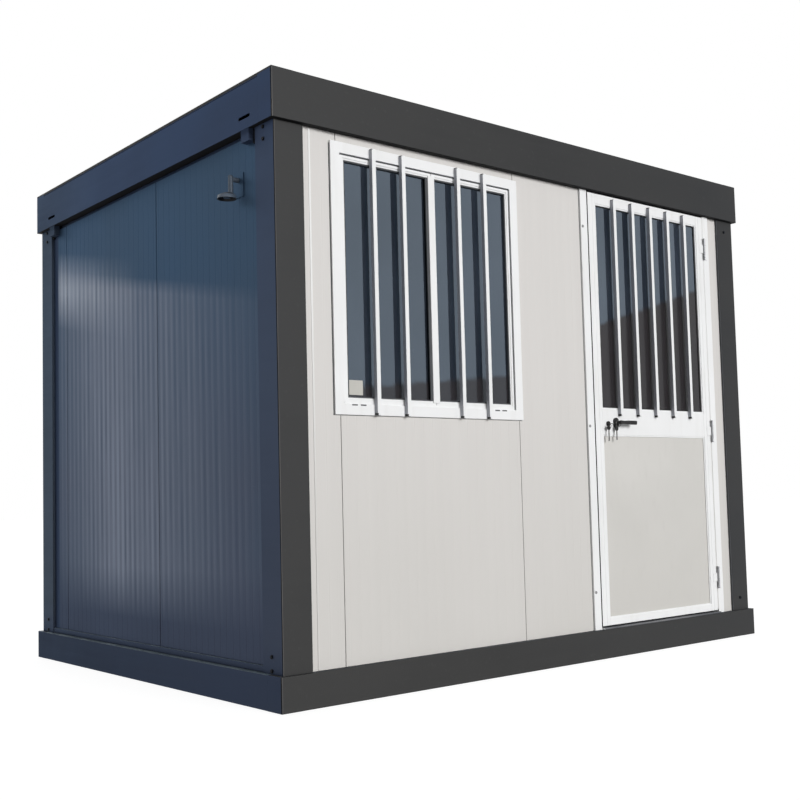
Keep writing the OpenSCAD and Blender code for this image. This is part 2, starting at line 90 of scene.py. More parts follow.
heading, tilt, roll = map(math.radians, (40.268, 3.927, -1.514))
bpy.ops.object.camera_add()
viewer = bpy.context.object
camera = viewer.data
camera.sensor_width = 36
camera.lens = 50.76
camera.shift_x = -0.0288
camera.shift_y = 0.0224
camera.clip_end = 200
viewer.matrix_world = (Matrix.Translation((-3.8334, -4.7497, 0.7944))
                       @ Matrix.Rotation(-heading, 4, "Z")
                       @ Matrix.Rotation(math.pi / 2 + tilt, 4, "X")
                       @ Matrix.Rotation(roll, 4, "Z"))
bpy.context.scene.camera = viewer
bpy.context.scene.view_settings.view_transform = "Standard"

for name, towards, strength, spread in (("sun_front_right", (-0.1, 1, -0.26), 2.45, 24),
                                        ("sun_behind", (-0.3, -1, -0.6), 1.3, 60)):
    bpy.ops.object.light_add(type="SUN")
    lamp = bpy.context.object
    lamp.name = name
    lamp.rotation_euler = Vector(towards).to_track_quat("-Z", "Y").to_euler()
    lamp.data.energy = strength
    lamp.data.angle = math.radians(spread)


def seen_by(tree, first, *others):
    """1 for the named kinds of ray, and 0 for the rest."""
    path = tree.nodes.new("ShaderNodeLightPath")
    seen = Tone(tree, path.outputs[first])
    for ray in others:
        seen = seen.maths("MAXIMUM", seen, Tone(tree, path.outputs[ray]))
    return seen


sky = bpy.data.worlds.new("sky")
bpy.context.scene.world = sky
sky.use_nodes = True
background = sky.node_tree.nodes["Background"]
background.inputs["Color"].default_value = (1, 1, 1, 1)
seen = seen_by(sky.node_tree, "Is Camera Ray", "Is Glossy Ray", "Is Transmission Ray")
(0.22 + 0.78 * seen).feed(background.inputs["Strength"])


def finish(name, gloss, metal=0, **fixed):
    """A new material: (the material, its shader, its object coordinates)."""
    material = bpy.data.materials.new(name)
    material.use_nodes = True
    shader = material.node_tree.nodes["Principled BSDF"]
    for socket, value in {"Specular IOR Level": gloss, "Metallic": metal, **fixed}.items():
        shader.inputs[socket.replace("_", " ")].default_value = value
    place = material.node_tree.nodes.new("ShaderNodeTexCoord")
    return material, shader, Tone(material.node_tree, place.outputs["Object"])


def between(mask, low, high):
    """Colour low where the mask is 0, high where it is 1."""
    low, high = (c if isinstance(c, Tone) else (*c, 1) for c in (low, high))
    return mask.node("ShaderNodeMix", {"data_type": "RGBA"}, {0: mask, 6: low, 7: high}, output=2)


def blend(shader, share, other):
    """Mixes a second shader into a finish by that share."""
    share.node("ShaderNodeMixShader", None,
               {0: share, 1: Tone(share.tree, shader.outputs[0]), 2: other}
               ).feed(share.tree.nodes["Material Output"].inputs["Surface"])


bpy.ops.mesh.primitive_circle_add(vertices=64, radius=60, fill_type="NGON",
                                  location=(0, 0, -0.0006))
studio_floor = bpy.context.object
studio_floor.name = "studio_floor"
pale, shader, place = finish("pale_floor", 0.5, Roughness=0.9)
seen = seen_by(place.tree, "Is Camera Ray", "Is Glossy Ray")
between(seen, (0.3, 0.3, 0.3), (0.86, 0.86, 0.86)).feed(shader.inputs["Base Color"])
glow = seen.node("ShaderNodeEmission", None, {"Strength": 1.22})
blend(shader, 0.74 * seen, glow)
studio_floor.data.materials.append(pale)


# ----- base frame, posts, roof frame
# Folded 4 mm steel sections bolted together at hollow corner boxes, primed and
# sprayed with a satin anthracite lacquer. The long sides read as neutral grey. The
# ends are painted blue-grey: a painted reflection of blue sky on their shaded faces.

def cloud(place, scale, stretch=(1, 1, 1), detail=3, rough=0.5):
    """Soft noise over the object, drawn out along an axis by a small stretch."""
    drawn = place.node("ShaderNodeMapping", None, {"Vector": place, "Scale": stretch})
    return place.node("ShaderNodeTexNoise", None,
                      {"Vector": drawn, "Scale": scale, "Detail": detail, "Roughness": rough})


def steps(value, low, high):
    """0 below low, 1 above high, and even between."""
    return value.node("ShaderNodeMapRange", {"clamp": True},
                      {"Value": value, "From Min": low, "From Max": high})


def coordinate(place, axis):
    """How far along X, Y or Z (0, 1 or 2) a point lies, in metres."""
    return place.node("ShaderNodeSeparateXYZ", None, {"Vector": place}, output=axis)


def paint(shader, tint, roughness):
    tint.feed(shader.inputs["Base Color"])
    roughness.feed(shader.inputs["Roughness"])


def relief(shader, place, scale, depth, strength, detail=2):
    bumps = {"Height": cloud(place, scale, detail=detail), "Distance": depth, "Strength": strength}
    place.node("ShaderNodeBump", None, bumps).feed(shader.inputs["Normal"])


def mottled(name, low, high, scale, rough, gloss, span=None, grain=None, bump=None,
            stretch=(1, 1, 1), detail=3, metal=0):
    """A finish that drifts from colour low to high in clouds, sharpened to span.
    rough is the least roughness and what the clouds, or noise of scale grain, add
    to it. bump is the scale, depth and strength of the unevenness."""
    material, shader, place = finish(name, gloss, metal)
    clouds = cloud(place, scale, stretch, detail)
    if span:
        clouds = steps(clouds, *span)
    paint(shader, between(clouds, low, high),
          rough[0] + rough[1] * (cloud(place, grain) if grain else clouds))
    if bump:
        relief(shader, place, *bump)
    return material


def lacquered_steel(name, levels, worn, grain, metal, far=0):
    """levels pairs a height with the colour there. far is how much of the painted
    sky-blue gives way to teal-grey at the back."""
    material, shader, place = finish(name, 0.06, metal, Specular_Tint=(0.45, 0.55, 0.7, 1))
    along, height = coordinate(place, 1), coordinate(place, 2)
    mottle = steps(cloud(place, 2.3, detail=5), 0.35, 0.7)
    brushed = steps(cloud(place, 9, grain, 4, 0.6), 0.35, 0.7)
    tint = levels[0][1]
    for (start, _), (end, sprayed) in zip(levels, levels[1:]):
        tint = between(steps(height, start, end), tint, sprayed)
    tint = between(0.18 * mottle + 0.1 * brushed, tint, worn)
    tint = between(steps(cloud(place, 55), 0.62, 0.78) * 0.07, tint, (0.14, 0.14, 0.14))
    # Towards the back the ends' painted sky-blue gives way to teal-grey.
    less_blue_at_back = steps(along, 0.3, 1.16) * steps(height, 0.135, 0.3) \
        * (1 - 0.45 * steps(height, 2.24, 2.28))
    # The end's foot grows darker towards the back.
    darker_foot_at_back = steps(along, -0.8, 0.8) * (1 - steps(height, 0.13, 0.15))
    tint = between(far * darker_foot_at_back, tint, (0.022, 0.025, 0.036))
    paint(shader, between(far * less_blue_at_back, tint, (0.062, 0.078, 0.088)),
          0.42 + 0.14 * mottle + 0.08 * brushed)
    relief(shader, place, 260, 0.0004, 0.35)
    return material


steel_long = lacquered_steel(
    "anthracite_long_sides",
    [(0, (0.045, 0.0447, 0.044)), (0.75, (0.043, 0.043, 0.0433)), (2.25, (0.0405, 0.0405, 0.0405))],
    (0.066, 0.065, 0.063), (0.12, 1, 3), 0.35)
# The ends' blue-grey is a painted reflection of blue sky.
steel_end = lacquered_steel(
    "anthracite_ends",
    [(0.1125, (0.033, 0.042, 0.07)), (0.25, (0.052, 0.062, 0.092)), (1.25, (0.06, 0.077, 0.118)),
     (2.15, (0.053, 0.073, 0.122)), (2.275, (0.038, 0.057, 0.11))],
    (0.085, 0.105, 0.15), (1, 0.15, 3), 0.6, 0.6)
# A near-black used as painted shade: under the roof frame, in the fascia's groove, at the post
# heads, on corner bends and on the knee pads.
painted_shade_black = mottled("painted_shade_black", (0.004, 0.004, 0.005), (0.012, 0.012, 0.013), 4,
                      (0.6, 0.2), 0.1, grain=30, detail=4)
# Lighter paint for upward faces on the ends: dust, and painted sky light on top faces.
ledge_dust_and_sky_light = mottled("dusty_sky_lit_ledge", (0.08, 0.11, 0.14), (0.2, 0.25, 0.28), 7,
                     (0.55, 0.2), 0.15, (0.3, 0.7), 40, detail=5)
# Lighter paint for rubbed lacquer on the fascias' lip, and a painted highlight on corner bends.
rubbed_and_highlit_edge = mottled("rubbed_and_highlit_edge", (0.07, 0.07, 0.072), (0.125, 0.122, 0.12), 16,
                      (0.45, 0.2), 0.06, (0.3, 0.7), 60, stretch=(1, 1, 0.2), detail=5)
steel_finishes = (steel_long, steel_end, painted_shade_black, ledge_dust_and_sky_light, rubbed_and_highlit_edge)
GREY, BLUE, SHADE_BLACK, DUST_AND_SKY_LIGHT, RUBBED_AND_HIGHLIT = range(5)


def welded(node):
    """A working copy of a solid, its loose triangles joined into whole faces."""
    bm = bmesh.new()
    bm.from_mesh(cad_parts[node].data)
    bmesh.ops.remove_doubles(bm, verts=bm.verts, dist=0.00002)
    bmesh.ops.dissolve_limit(bm, angle_limit=math.radians(0.5), verts=bm.verts, edges=bm.edges)
    return bm


def bevel(bm, edges, width, segments):
    bmesh.ops.bevel(bm, geom=edges, offset=width, segments=segments, profile=0.5,
                    affect="EDGES", clamp_overlap=True, material=-1)


def ease(bm, width, segments=2, where=None):
    """Rounds the sharp edges, or those that where() picks."""
    bevel(bm, [e for e in bm.edges if len(e.link_faces) == 2
               and e.calc_face_angle(0) > math.radians(30) and (where is None or where(e))],
          width, segments)


def upright(edge):
    """How far an edge climbs."""
    return abs(edge.verts[0].co.z - edge.verts[1].co.z)


def cut(bm, axis, *places):
    """Cuts the faces where that axis reads each place."""
    normal = Vector([float(i == axis) for i in range(3)])
    for place in places:
        bmesh.ops.bisect_plane(bm, geom=bm.verts[:] + bm.edges[:] + bm.faces[:], dist=1e-6,
                               plane_co=normal * place, plane_no=normal)


def block(bm, low, high, width=0, segments=2):
    """A box between two corners, with its edges rounded by width."""
    low, high = Vector(low), Vector(high)
    placed = Matrix.LocRotScale((low + high) / 2, None, high - low)
    verts = bmesh.ops.create_cube(bm, size=1, matrix=placed)["verts"]
    if width:
        bevel(bm, list({e for v in verts for e in v.link_edges}), width, segments)


def fit(name, bm, finishes, stands_for=(), body="cabin", crease=32):
    """Makes the finished mesh a piece that rides on body."""
    mesh = bpy.data.meshes.new(name)
    bm.to_mesh(mesh)
    bm.free()
    for material in finishes:
        mesh.materials.append(material)
    mesh.shade_smooth()
    mesh.set_sharp_from_angle(angle=math.radians(crease))
    made = bpy.data.objects.new(name, mesh)
    bpy.context.collection.objects.link(made)
    flat = made.modifiers.new("flat_faces", "WEIGHTED_NORMAL")
    flat.keep_sharp = True
    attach(made, body)
    if stands_for:
        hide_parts(*stands_for)


def fit_blocks(name, boxes, width, material, segments=2, stands_for=()):
    """A piece of plain boxes, each given by two corners."""
    bm = bmesh.new()
    for low, high in boxes:
        block(bm, low, high, width, segments)
    fit(name, bm, (material,), stands_for)


def fit_steel(node, bm):
    fit(node + "_steel", bm, steel_finishes, [node])


def pair(sign, inner, outer):
    """Two distances from the middle, on the sign's side and in rising order."""
    return sorted((sign * inner, sign * outer))


roof_bottom, roof_top = (corner[2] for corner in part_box("roof_beam_front"))
end_face, post_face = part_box("post_back_right")[1][:2]
post_side = -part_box("post_front_left")[1][1]


def paint_steel(bm, underside=False, ledge=False):
    """The ends take their painted sky-blue. The roof frame's underside is painted
    near-black as shade, the ledge on the base frame's ends is painted lighter as dust and
    sky light, and on the corner bends the end half is painted near-black as shade and the
    long-side half lighter as rubbed lacquer and a highlight."""
    for face in bm.faces:
        centre, normal = face.calc_center_median(), face.normal
        face.material_index = BLUE if abs(centre.x) > end_face - 0.01 and abs(normal.y) < 0.9 \
            or centre.z < roof_bottom - 0.004 and underside else GREY
        if underside and normal.z < -0.7 and abs(centre.z - roof_bottom) < 0.004:
            face.material_index = SHADE_BLACK
        if ledge and normal.z > 0.7:
            face.material_index = DUST_AND_SKY_LIGHT
        # On the corner bends the end half is painted near-black as shade and the other half lighter
        # as a painted highlight.
        if abs(normal.x) > 0.3 and abs(normal.y) > 0.3 and abs(centre.y) > post_face - 0.01:
            face.material_index = SHADE_BLACK if abs(normal.x) > abs(normal.y) else RUBBED_AND_HIGHLIT


# The end fascias: the knee plates under them, the sling slots, and a groove
# pressed along the top that leaves a thin lip. The groove's floor is painted
# near-black as its shade.
knees = [abs(v.co.y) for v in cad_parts["roof_beam_left"].data.vertices
         if v.co.z < roof_bottom - 0.03]
knee_inner, knee_outer = min(knees), max(knees)
inner_edge_out, outer_edge_in, slot_drop = 0.025, 0.017, 0.023
line_low, line_width, line_depth = roof_top - 0.0175, 0.0055, 0.003

for side, axis in (("front", 0), ("back", 0), ("left", 1), ("right", 1)):
    for level in ("base_beam", "roof_beam"):
        node = level + "_" + side
        low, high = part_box(node)
        across = 1 - axis
        end_fascia = axis == 1 and level == "roof_beam"
        outer = low[across] if side in ("front", "left") else high[across]
        bm = welded(node)
        if end_fascia:
            for v in bm.verts:
                if v.co.z < roof_bottom + 0.001 and abs(abs(v.co.y) - knee_outer) < 0.001:
                    v.co.y -= math.copysign(outer_edge_in, v.co.y)
                elif v.co.z < roof_bottom + 0.001 and abs(abs(v.co.y) - knee_inner) < 0.001:
                    v.co.y += math.copysign(inner_edge_out, v.co.y)
                elif roof_bottom + 0.055 < v.co.z < roof_bottom + 0.09:
                    v.co.z -= slot_drop
        ease(bm, 0.003, 3, lambda e: all(abs(v.co[across] - outer) < 1e-4 for v in e.verts)
             and abs(e.verts[0].co[axis] - e.verts[1].co[axis]) > 1)
        if end_fascia:
            cut(bm, 2, *(line_low + line_width * share for share in (0, 0.3, 0.7, 1)))
            for v in bm.verts:
                if abs(v.co.x - outer) < 1e-5 and 0.2 < (v.co.z - line_low) / line_width < 0.8:
                    v.co.x -= math.copysign(line_depth, outer)
        paint_steel(bm, level == "roof_beam", level == "base_beam" and axis == 1)
        # The groove's floor is painted near-black as shade; the lip above takes the rubbed paint.
        for face in bm.faces if axis == 1 else ():
            centre = face.calc_center_median()
            if 0.0005 < centre.z - line_low < line_width - 0.0005 \
                    and abs(abs(centre.x - outer) - line_depth) < 0.0005:
                face.material_index = SHADE_BLACK
            elif centre.z > line_low + line_width + 0.0002 and abs(centre.x - outer) < 0.004:
                face.material_index = RUBBED_AND_HIGHLIT
        fit_steel(node, bm)

# Near-black pads in the gap between each knee plate and post stand in for the shade in that gap.
shade_pads = []
for sx, sy in ((-1, -1), (-1, 1), (1, -1), (1, 1)):
    x = pair(sx, end_face - 0.012, end_face - 0.004)
    for inner, outer, bottom, top in ((0.0175, 0, 0.054, 0.001), (0.02, 0.001, 0.06, 0.05)):
        y = pair(sy, post_side - inner, post_side - outer)
        shade_pads.append(((x[0], y[0], roof_bottom - bottom), (x[1], y[1], roof_bottom - top)))
fit_blocks("knee_shade_pads", shade_pads, 0.001, painted_shade_black)


def flush(edge, axis):
    """Whether the edge lies in an outer face of the node's box."""
    return all(min(abs(v.co[axis] - low[axis]), abs(v.co[axis] - high[axis])) < 1e-4
               for v in edge.verts)


for node in ("base_corners", "roof_corners"):
    low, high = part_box(node)
    bm = welded(node)
    ease(bm, 0.006, 2, lambda e: flush(e, 0) and flush(e, 1))
    ease(bm, 0.003, 3, lambda e: (flush(e, 0) or flush(e, 1)) and upright(e) < 1e-4)
    ease(bm, 0.0012, 1, lambda e: flush(e, 0) and not flush(e, 1) and upright(e) > 0.01)
    if node == "roof_corners":
        cut(bm, 2, roof_top - 0.0075)
    paint_steel(bm, node == "roof_corners")
    for face in bm.faces:
        if face.calc_center_median().z > roof_top - 0.0074 and abs(face.normal.y) < 0.3 \
                and face.normal.z < 0.9 and face.material_index == BLUE:
            face.material_index = RUBBED_AND_HIGHLIT
    fit_steel(node, bm)

# Each post's head is set back a little and painted near-black there: painted shade under the roof
# frame.
shaded_head_band = 0.0013
for node in ("post_front_left", "post_front_right", "post_back_left", "post_back_right"):
    low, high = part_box(node)
    middle = (Vector(low) + Vector(high)) / 2
    band = high[2] - shaded_head_band
    bm = welded(node)
    cut(bm, 2, band - 0.0001, band + 0.0001)
    bmesh.ops.scale(bm, vec=(0.94, 0.94, 1), space=Matrix.Translation(-middle),
                    verts=[v for v in bm.verts if v.co.z > band])
    ease(bm, 0.006, 2, lambda e: upright(e) > 0.1 and all(
        abs(v.co.x) > end_face - 1e-4 and abs(v.co.y) > post_face - 1e-4 for v in e.verts))
    paint_steel(bm)
    for face in bm.faces:
        centre = face.calc_center_median()
        # A post's side that faces along the end wall takes the ends' lighter paint: painted light
        # on a side in shade.
        if face.normal.y * centre.y < -0.9:
            face.material_index = BLUE
        if centre.z > band:
            face.material_index = SHADE_BLACK
    fit_steel(node, bm)


# ----- wall panels
# Sandwich panels, 40 mm thick: two skins of thin coated sheet on a foam core,
# rolled with a shallow groove every 50 mm and closed with a tongued joint at
# each edge. The long walls are pale warm grey, the ends anthracite.

rib_pitch = 0.05

pale_skin, shader, place = finish("pale_grey_sheet", 0.25)
drawn = steps(cloud(place, 16, (1, 1, 0.03), 3, 0.6), 0.38, 0.72)
broad = steps(cloud(place, 1.4), 0.3, 0.7)
low_down = 1 - steps(coordinate(place, 2), 0.1, 1.3)
tint = between(0.6 * drawn, (0.672, 0.652, 0.632), (0.7, 0.68, 0.66))
paint(shader, between(low_down * (0.55 + 0.4 * broad), tint, (0.61, 0.594, 0.566)),
      0.34 + 0.12 * broad + 0.1 * drawn)
relief(shader, place, 140, 0.0003, 0.3)

# The dark sheets carry a painted sky sheen: a pale band, strongest below the
# eaves and towards the back and gone at the foot, with a brighter painted highlight
# high up towards the back and painted light and shade at each groove. Their blue
# tint, bluest high up, is a painted sky reflection, and they are darker towards the
# foot. A darker band without the sheen runs beside the back post.
dark_skin, shader, place = finish("anthracite_sheet", 0.08, 0.6,
                                  Specular_Tint=(0.45, 0.55, 0.7, 1))
along, height = coordinate(place, 1), coordinate(place, 2)
drawn = steps(cloud(place, 14, (1, 1, 0.03), 3, 0.6), 0.3, 0.75)
broad = steps(cloud(place, 2), 0.3, 0.7)
at_strip = steps(along, 0.95, 0.962)
below_eaves = height - 0.2 * along
# Painted sky sheen, a painted highlight patch, and painted light and shade at the grooves.
dust_film_and_sheen = place.maths("POWER", steps(along, -1.3, 0.3), 1.3) * (1 - at_strip) \
    * (1 - steps(along + 0.18 * (1.3 - height), 0.4, 1.25)) \
    * (1 - steps(below_eaves, 1.765, 1.83)) * steps(height, 0.27, 0.5)
painted_highlight_patch = (1 - steps(place.maths("ABSOLUTE", along - 0.93), 0.03, 0.9)) * (1 - at_strip) \
    * (1 - steps(place.maths("ABSOLUTE", below_eaves - 1.728), 0.02, 0.2))
in_pitch = place.maths("FRACT", (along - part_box("left_wall_middle")[0][1]) * (1 / rib_pitch))
uneven = steps(cloud(place, 17, (0, 1, 0.14), 4, 0.6), 0.35, 0.65)
groove_light_and_shade = place.maths("SINE", (in_pitch - 0.05) * math.tau) * (0.08 + 0.34 * uneven)
tint = between(steps(height, 0.9, 1.8), (0.058, 0.07, 0.107), (0.047, 0.086, 0.145))
tint = between(0.5 * broad, tint, (0.058, 0.094, 0.142))
tint = between(1 - steps(height, 0.24, 0.6), tint, (0.05, 0.06, 0.092))
tint = between(at_strip, tint, (0.034, 0.048, 0.085))
tint = between(dust_film_and_sheen * (0.7 + 0.25 * drawn + groove_light_and_shade), tint, (0.235, 0.262, 0.325))
paint(shader, between(painted_highlight_patch * (0.66 + 0.25 * drawn + groove_light_and_shade), tint, (0.43, 0.462, 0.525)),
      0.4 + 0.1 * broad + 0.1 * dust_film_and_sheen)
relief(shader, place, 140, 0.0003, 0.3)

inner_skin = mottled("white_inner_sheet", (0.72, 0.72, 0.7), (0.77, 0.77, 0.76), 1.8,
                     (0.45, 0.1), 0.3, (0.3, 0.7), 6, (150, 0.0003, 0.25))
rubber = mottled("black_rubber", (0.008,) * 3, (0.018,) * 3, 30, (0.62, 0.16), 0.2, grain=60)
joint_grey = mottled("joint_tongue", (0.17, 0.17, 0.165), (0.27, 0.265, 0.255), 9,
                     (0.5, 0.2), 0.2, grain=50)


def rolled_grooves(bm, run, across, low, high, first, depth):
    """Presses the grooves into both skins. run and across are the axes along
    the wall and through it. first is where one groove lies."""
    margin, half_mouth, half_floor = 0.012, 0.0027, 0.001
    centre = first + math.ceil((low[run] + margin - first) / rib_pitch) * rib_pitch
    while centre < high[run] - margin:
        cut(bm, run, centre - half_mouth, centre - half_floor, centre + half_floor,
            centre + half_mouth)
        for v in bm.verts:
            if abs(v.co[run] - centre) < 0.002:
                if abs(v.co[across] - low[across]) < 1e-5:
                    v.co[across] += depth
                elif abs(v.co[across] - high[across]) < 1e-5:
                    v.co[across] -= depth
        centre += rib_pitch


def wall_panel(node, skin, seal, inner_sign, run, first, depth):
    """One node of wall: its solids, grooved, with white sheet on the room side
    and a seal or tongue in the narrow gap at each joint."""
    low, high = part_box(node)
    across = 1 - run
    levels = sorted({round(v.co.z, 4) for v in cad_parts[node].data.vertices})
    tongue_back = 0.0045
    panel_inset, tongue_inset = Vector((0, 0, 0)), Vector((0, 0, 0.001))
    panel_inset[run] = 0.0012 if run == 0 else 0.0024
    tongue_inset[across] = tongue_back
    bm = bmesh.new()

    def fill(inset):
        for bottom, top in zip(levels[0::2], levels[1::2]):
            block(bm, Vector((*low[:2], bottom)) + inset, Vector((*high[:2], top)) - inset)

    fill(panel_inset)
    ease(bm, 0.0022, 2, lambda e: upright(e) > 0.02)
    rolled_grooves(bm, run, across, low, high, first, depth)
    fill(tongue_inset)
    room = high[across] if inner_sign > 0 else low[across]
    middle = (low[across] + high[across]) / 2
    tongue_half = (high[across] - low[across]) / 2 - tongue_back
    for face in bm.faces:
        centre = face.calc_center_median()
        off = abs(centre[across] - middle)
        face.material_index = int(abs(centre[across] - room) < 0.003)
        if abs(off - tongue_half) < 0.0002 or off < tongue_half and \
                min(centre[run] - low[run], high[run] - centre[run]) < 0.02:
            face.material_index = 2
    fit(node + "_panel", bm, (skin, inner_skin, seal), [node], crease=8)


for side, inner_sign, nodes in (("front", 1, ("left", "window", "middle", "right")),
                                ("back", -1, ("left", "middle", "right"))):
    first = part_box(side + "_wall_" + nodes[1])[0][0] + rib_pitch / 2
    for place_in_row in nodes:
        wall_panel(side + "_wall_" + place_in_row, pale_skin, joint_grey,
                   inner_sign, 0, first, 0.0003)
end_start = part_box("left_wall_middle")[0][1] + rib_pitch / 2
for side, inner_sign in (("left", 1), ("right", -1)):
    for place_in_row in ("front", "middle", "back"):
        wall_panel(side + "_wall_" + place_in_row, dark_skin, rubber,
                   inner_sign, 1, end_start, 0.0006)

trim_white, shader, place = finish("trim_bead", 0.3)
# The bead and lip seal are whiter higher up.
whiter_high_up = steps(coordinate(place, 2) + 0.2 * cloud(place, 8, (1, 1, 0.1)), 0.9, 1.7)
paint(shader, between(whiter_high_up, (0.65, 0.635, 0.615), (0.84, 0.84, 0.83)),
      0.3 + 0.1 * cloud(place, 20))
low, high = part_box("front_wall_left")
bead_middle, bead_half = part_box("post_front_left")[1][0] + 0.036, 0.0045
fit_blocks("front_wall_bead", [((bead_middle - bead_half, low[1] - 0.0026, low[2] + 0.002),
                                (bead_middle + bead_half, low[1] + 0.002, high[2] - 0.003))],
           0.0022, trim_white, 3)

foams = []
for side, outside, inside in (("left", 0.0145, 0.001), ("right", 0.001, 0.0145)):
    low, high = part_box(side + "_wall_middle")
    front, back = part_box(side + "_wall_front")[0][1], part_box(side + "_wall_back")[1][1]
    foams.append(((low[0] + outside, front, high[2] - 0.021),
                  (high[0] - inside, back, high[2] - 0.0005)))
fit_blocks("end_gap_foam", foams, 0.002, rubber)

# Sills along the end walls' feet; their tops take the lighter ledge paint: dust and painted sky
# light.
bm = bmesh.new()
for sign in (-1, 1):
    x = pair(sign, end_face - 0.013, end_face - 0.003)
    block(bm, (x[0], 0.0005 - post_side, low[2] + 0.0005),
          (x[1], post_side - 0.0005, low[2] + 0.026), 0.002)
for face in bm.faces:
    face.material_index = int(face.normal.z > 0.5)
fit("end_wall_sills", bm, (steel_end, ledge_dust_and_sky_light))


# ----- the window
# A two-sash window in white powder-coated aluminium, its sashes nearly flush. The
# profiles are mitred at the corners, each pane sits behind a clipped bead and a
# rubber seal, and water leaves through capped slots in the bottom profile.

white_coat, shader, place = finish("white_powder_coat", 0.2)
soft = steps(cloud(place, 3.1, detail=4), 0.3, 0.7)
grime = steps(cloud(place, 22, (1, 1, 0.12), 4), 0.55, 0.85)
tint = between(soft, (0.85, 0.855, 0.855), (0.893, 0.898, 0.903))
paint(shader, between(grime * 0.22, tint, (0.62, 0.6, 0.56)), 0.3 + 0.12 * soft + 0.1 * grime)
relief(shader, place, 420, 0.0002, 0.3)


def tinted_pane(name, level, slope, amount):
    """Tinted glass, with a painted dark reflection below a line that starts at level
    and climbs by slope.
    """
    material, shader, place = finish(name, 0.5, IOR=2.35, Alpha=0.8,
                                     Specular_Tint=(0.66, 0.82, 1, 1))
    dust_film_and_sheen = steps(cloud(place, 2.2, detail=4), 0.35, 0.75)
    smear = steps(cloud(place, 9, (1, 1, 0.2), 4), 0.5, 0.8)
    paint(shader, between(0.6 * dust_film_and_sheen + 0.3 * smear, (0.01, 0.013, 0.019), (0.044, 0.054, 0.073)),
          0.03 + 0.05 * smear)
    climb = coordinate(place, 2) - slope * coordinate(place, 0) \
        + 0.03 * cloud(place, 18, detail=5)
    below = 1 - steps(climb, level - 0.008, level + 0.012)
    # The dimmer shader below the line is a painted reflection.
    painted_dark_reflection = place.node("ShaderNodeBsdfPrincipled", None,
                     {"Base Color": (0.032, 0.028, 0.03, 1), "Alpha": 0.8, "Roughness": 0.25,
                      "Specular IOR Level": 0.35})
    blend(shader, below * amount, painted_dark_reflection)
    return material


pane = tinted_pane("tinted_pane", 1.36, 0.1, 0.8)
door_pane = tinted_pane("tinted_door_pane", 1.5, 0.31, 0.95)
sealant = mottled("grey_sealant", (0.22, 0.225, 0.23), (0.36,) * 3, 14, (0.5, 0.2), 0.2,
                  grain=50)
weather_seal = mottled("grey_weather_seal", (0.055, 0.058, 0.064), (0.1, 0.103, 0.11), 12,
                       (0.6, 0.2), 0.2, grain=50)
paper = mottled("blank_label", (0.5, 0.49, 0.455), (0.58, 0.57, 0.53), 20, (0.6, 0.2), 0.2,
                grain=60)


def ring(bm, left, right, bottom, top, front, back, face, width=0, extra=None):
    """A mitred rectangular ring that faces -Y, with its profile face wide.
    extra maps "left" or "right" to more width on that side."""
    placed = Matrix.LocRotScale(((left + right) / 2, front, (bottom + top) / 2),
                                Matrix.Rotation(math.pi / 2, 3, "X"),
                                (right - left, top - bottom, 1))
    middle = bmesh.ops.create_grid(bm, x_segments=1, y_segments=1, size=0.5,
                                   matrix=placed)["verts"][0].link_faces[0]
    rim = bmesh.ops.inset_region(bm, faces=[middle], thickness=face, use_boundary=True,
                                 use_even_offset=True)["faces"]
    for side, more in (extra or {}).items():
        inward = -1 if side == "right" else 1
        for v in middle.verts:
            if (v.co.x - (left + right) / 2) * inward < 0:
                v.co.x += more * inward
    bmesh.ops.delete(bm, geom=[middle], context="FACES_ONLY")
    pushed = [g for g in bmesh.ops.extrude_face_region(bm, geom=rim)["geom"]
              if isinstance(g, bmesh.types.BMVert)]
    bmesh.ops.translate(bm, vec=(0, back - front, 0), verts=pushed)
    faces = list({f for v in pushed for f in v.link_faces} | set(rim))
    bmesh.ops.recalc_face_normals(bm, faces=faces)
    if width:
        bevel(bm, list({e for f in faces for e in f.edges
                        if len(e.link_faces) == 2 and e.calc_face_angle(0) > 0.5}), width, 2)


frame_low, frame_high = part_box("window_frame")
casing_low, casing_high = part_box("front_wall_window")
wall_face = casing_low[1]
window_face, lap = 0.045, 0.018
bm = bmesh.new()
ring(bm, frame_low[0], frame_high[0], frame_low[2], frame_high[2],
     frame_low[1], wall_face, window_face, 0.0018)
ring(bm, casing_low[0], casing_high[0], frame_low[2] + lap, frame_high[2] - lap,
     wall_face - 0.001, frame_high[1], window_face - lap, 0.0006,
     {"left": window_face - lap + frame_low[0] - casing_low[0],
      "right": casing_high[0] - frame_high[0] + lap})
fit("window_casing", bm, (white_coat,), ["window_frame"])

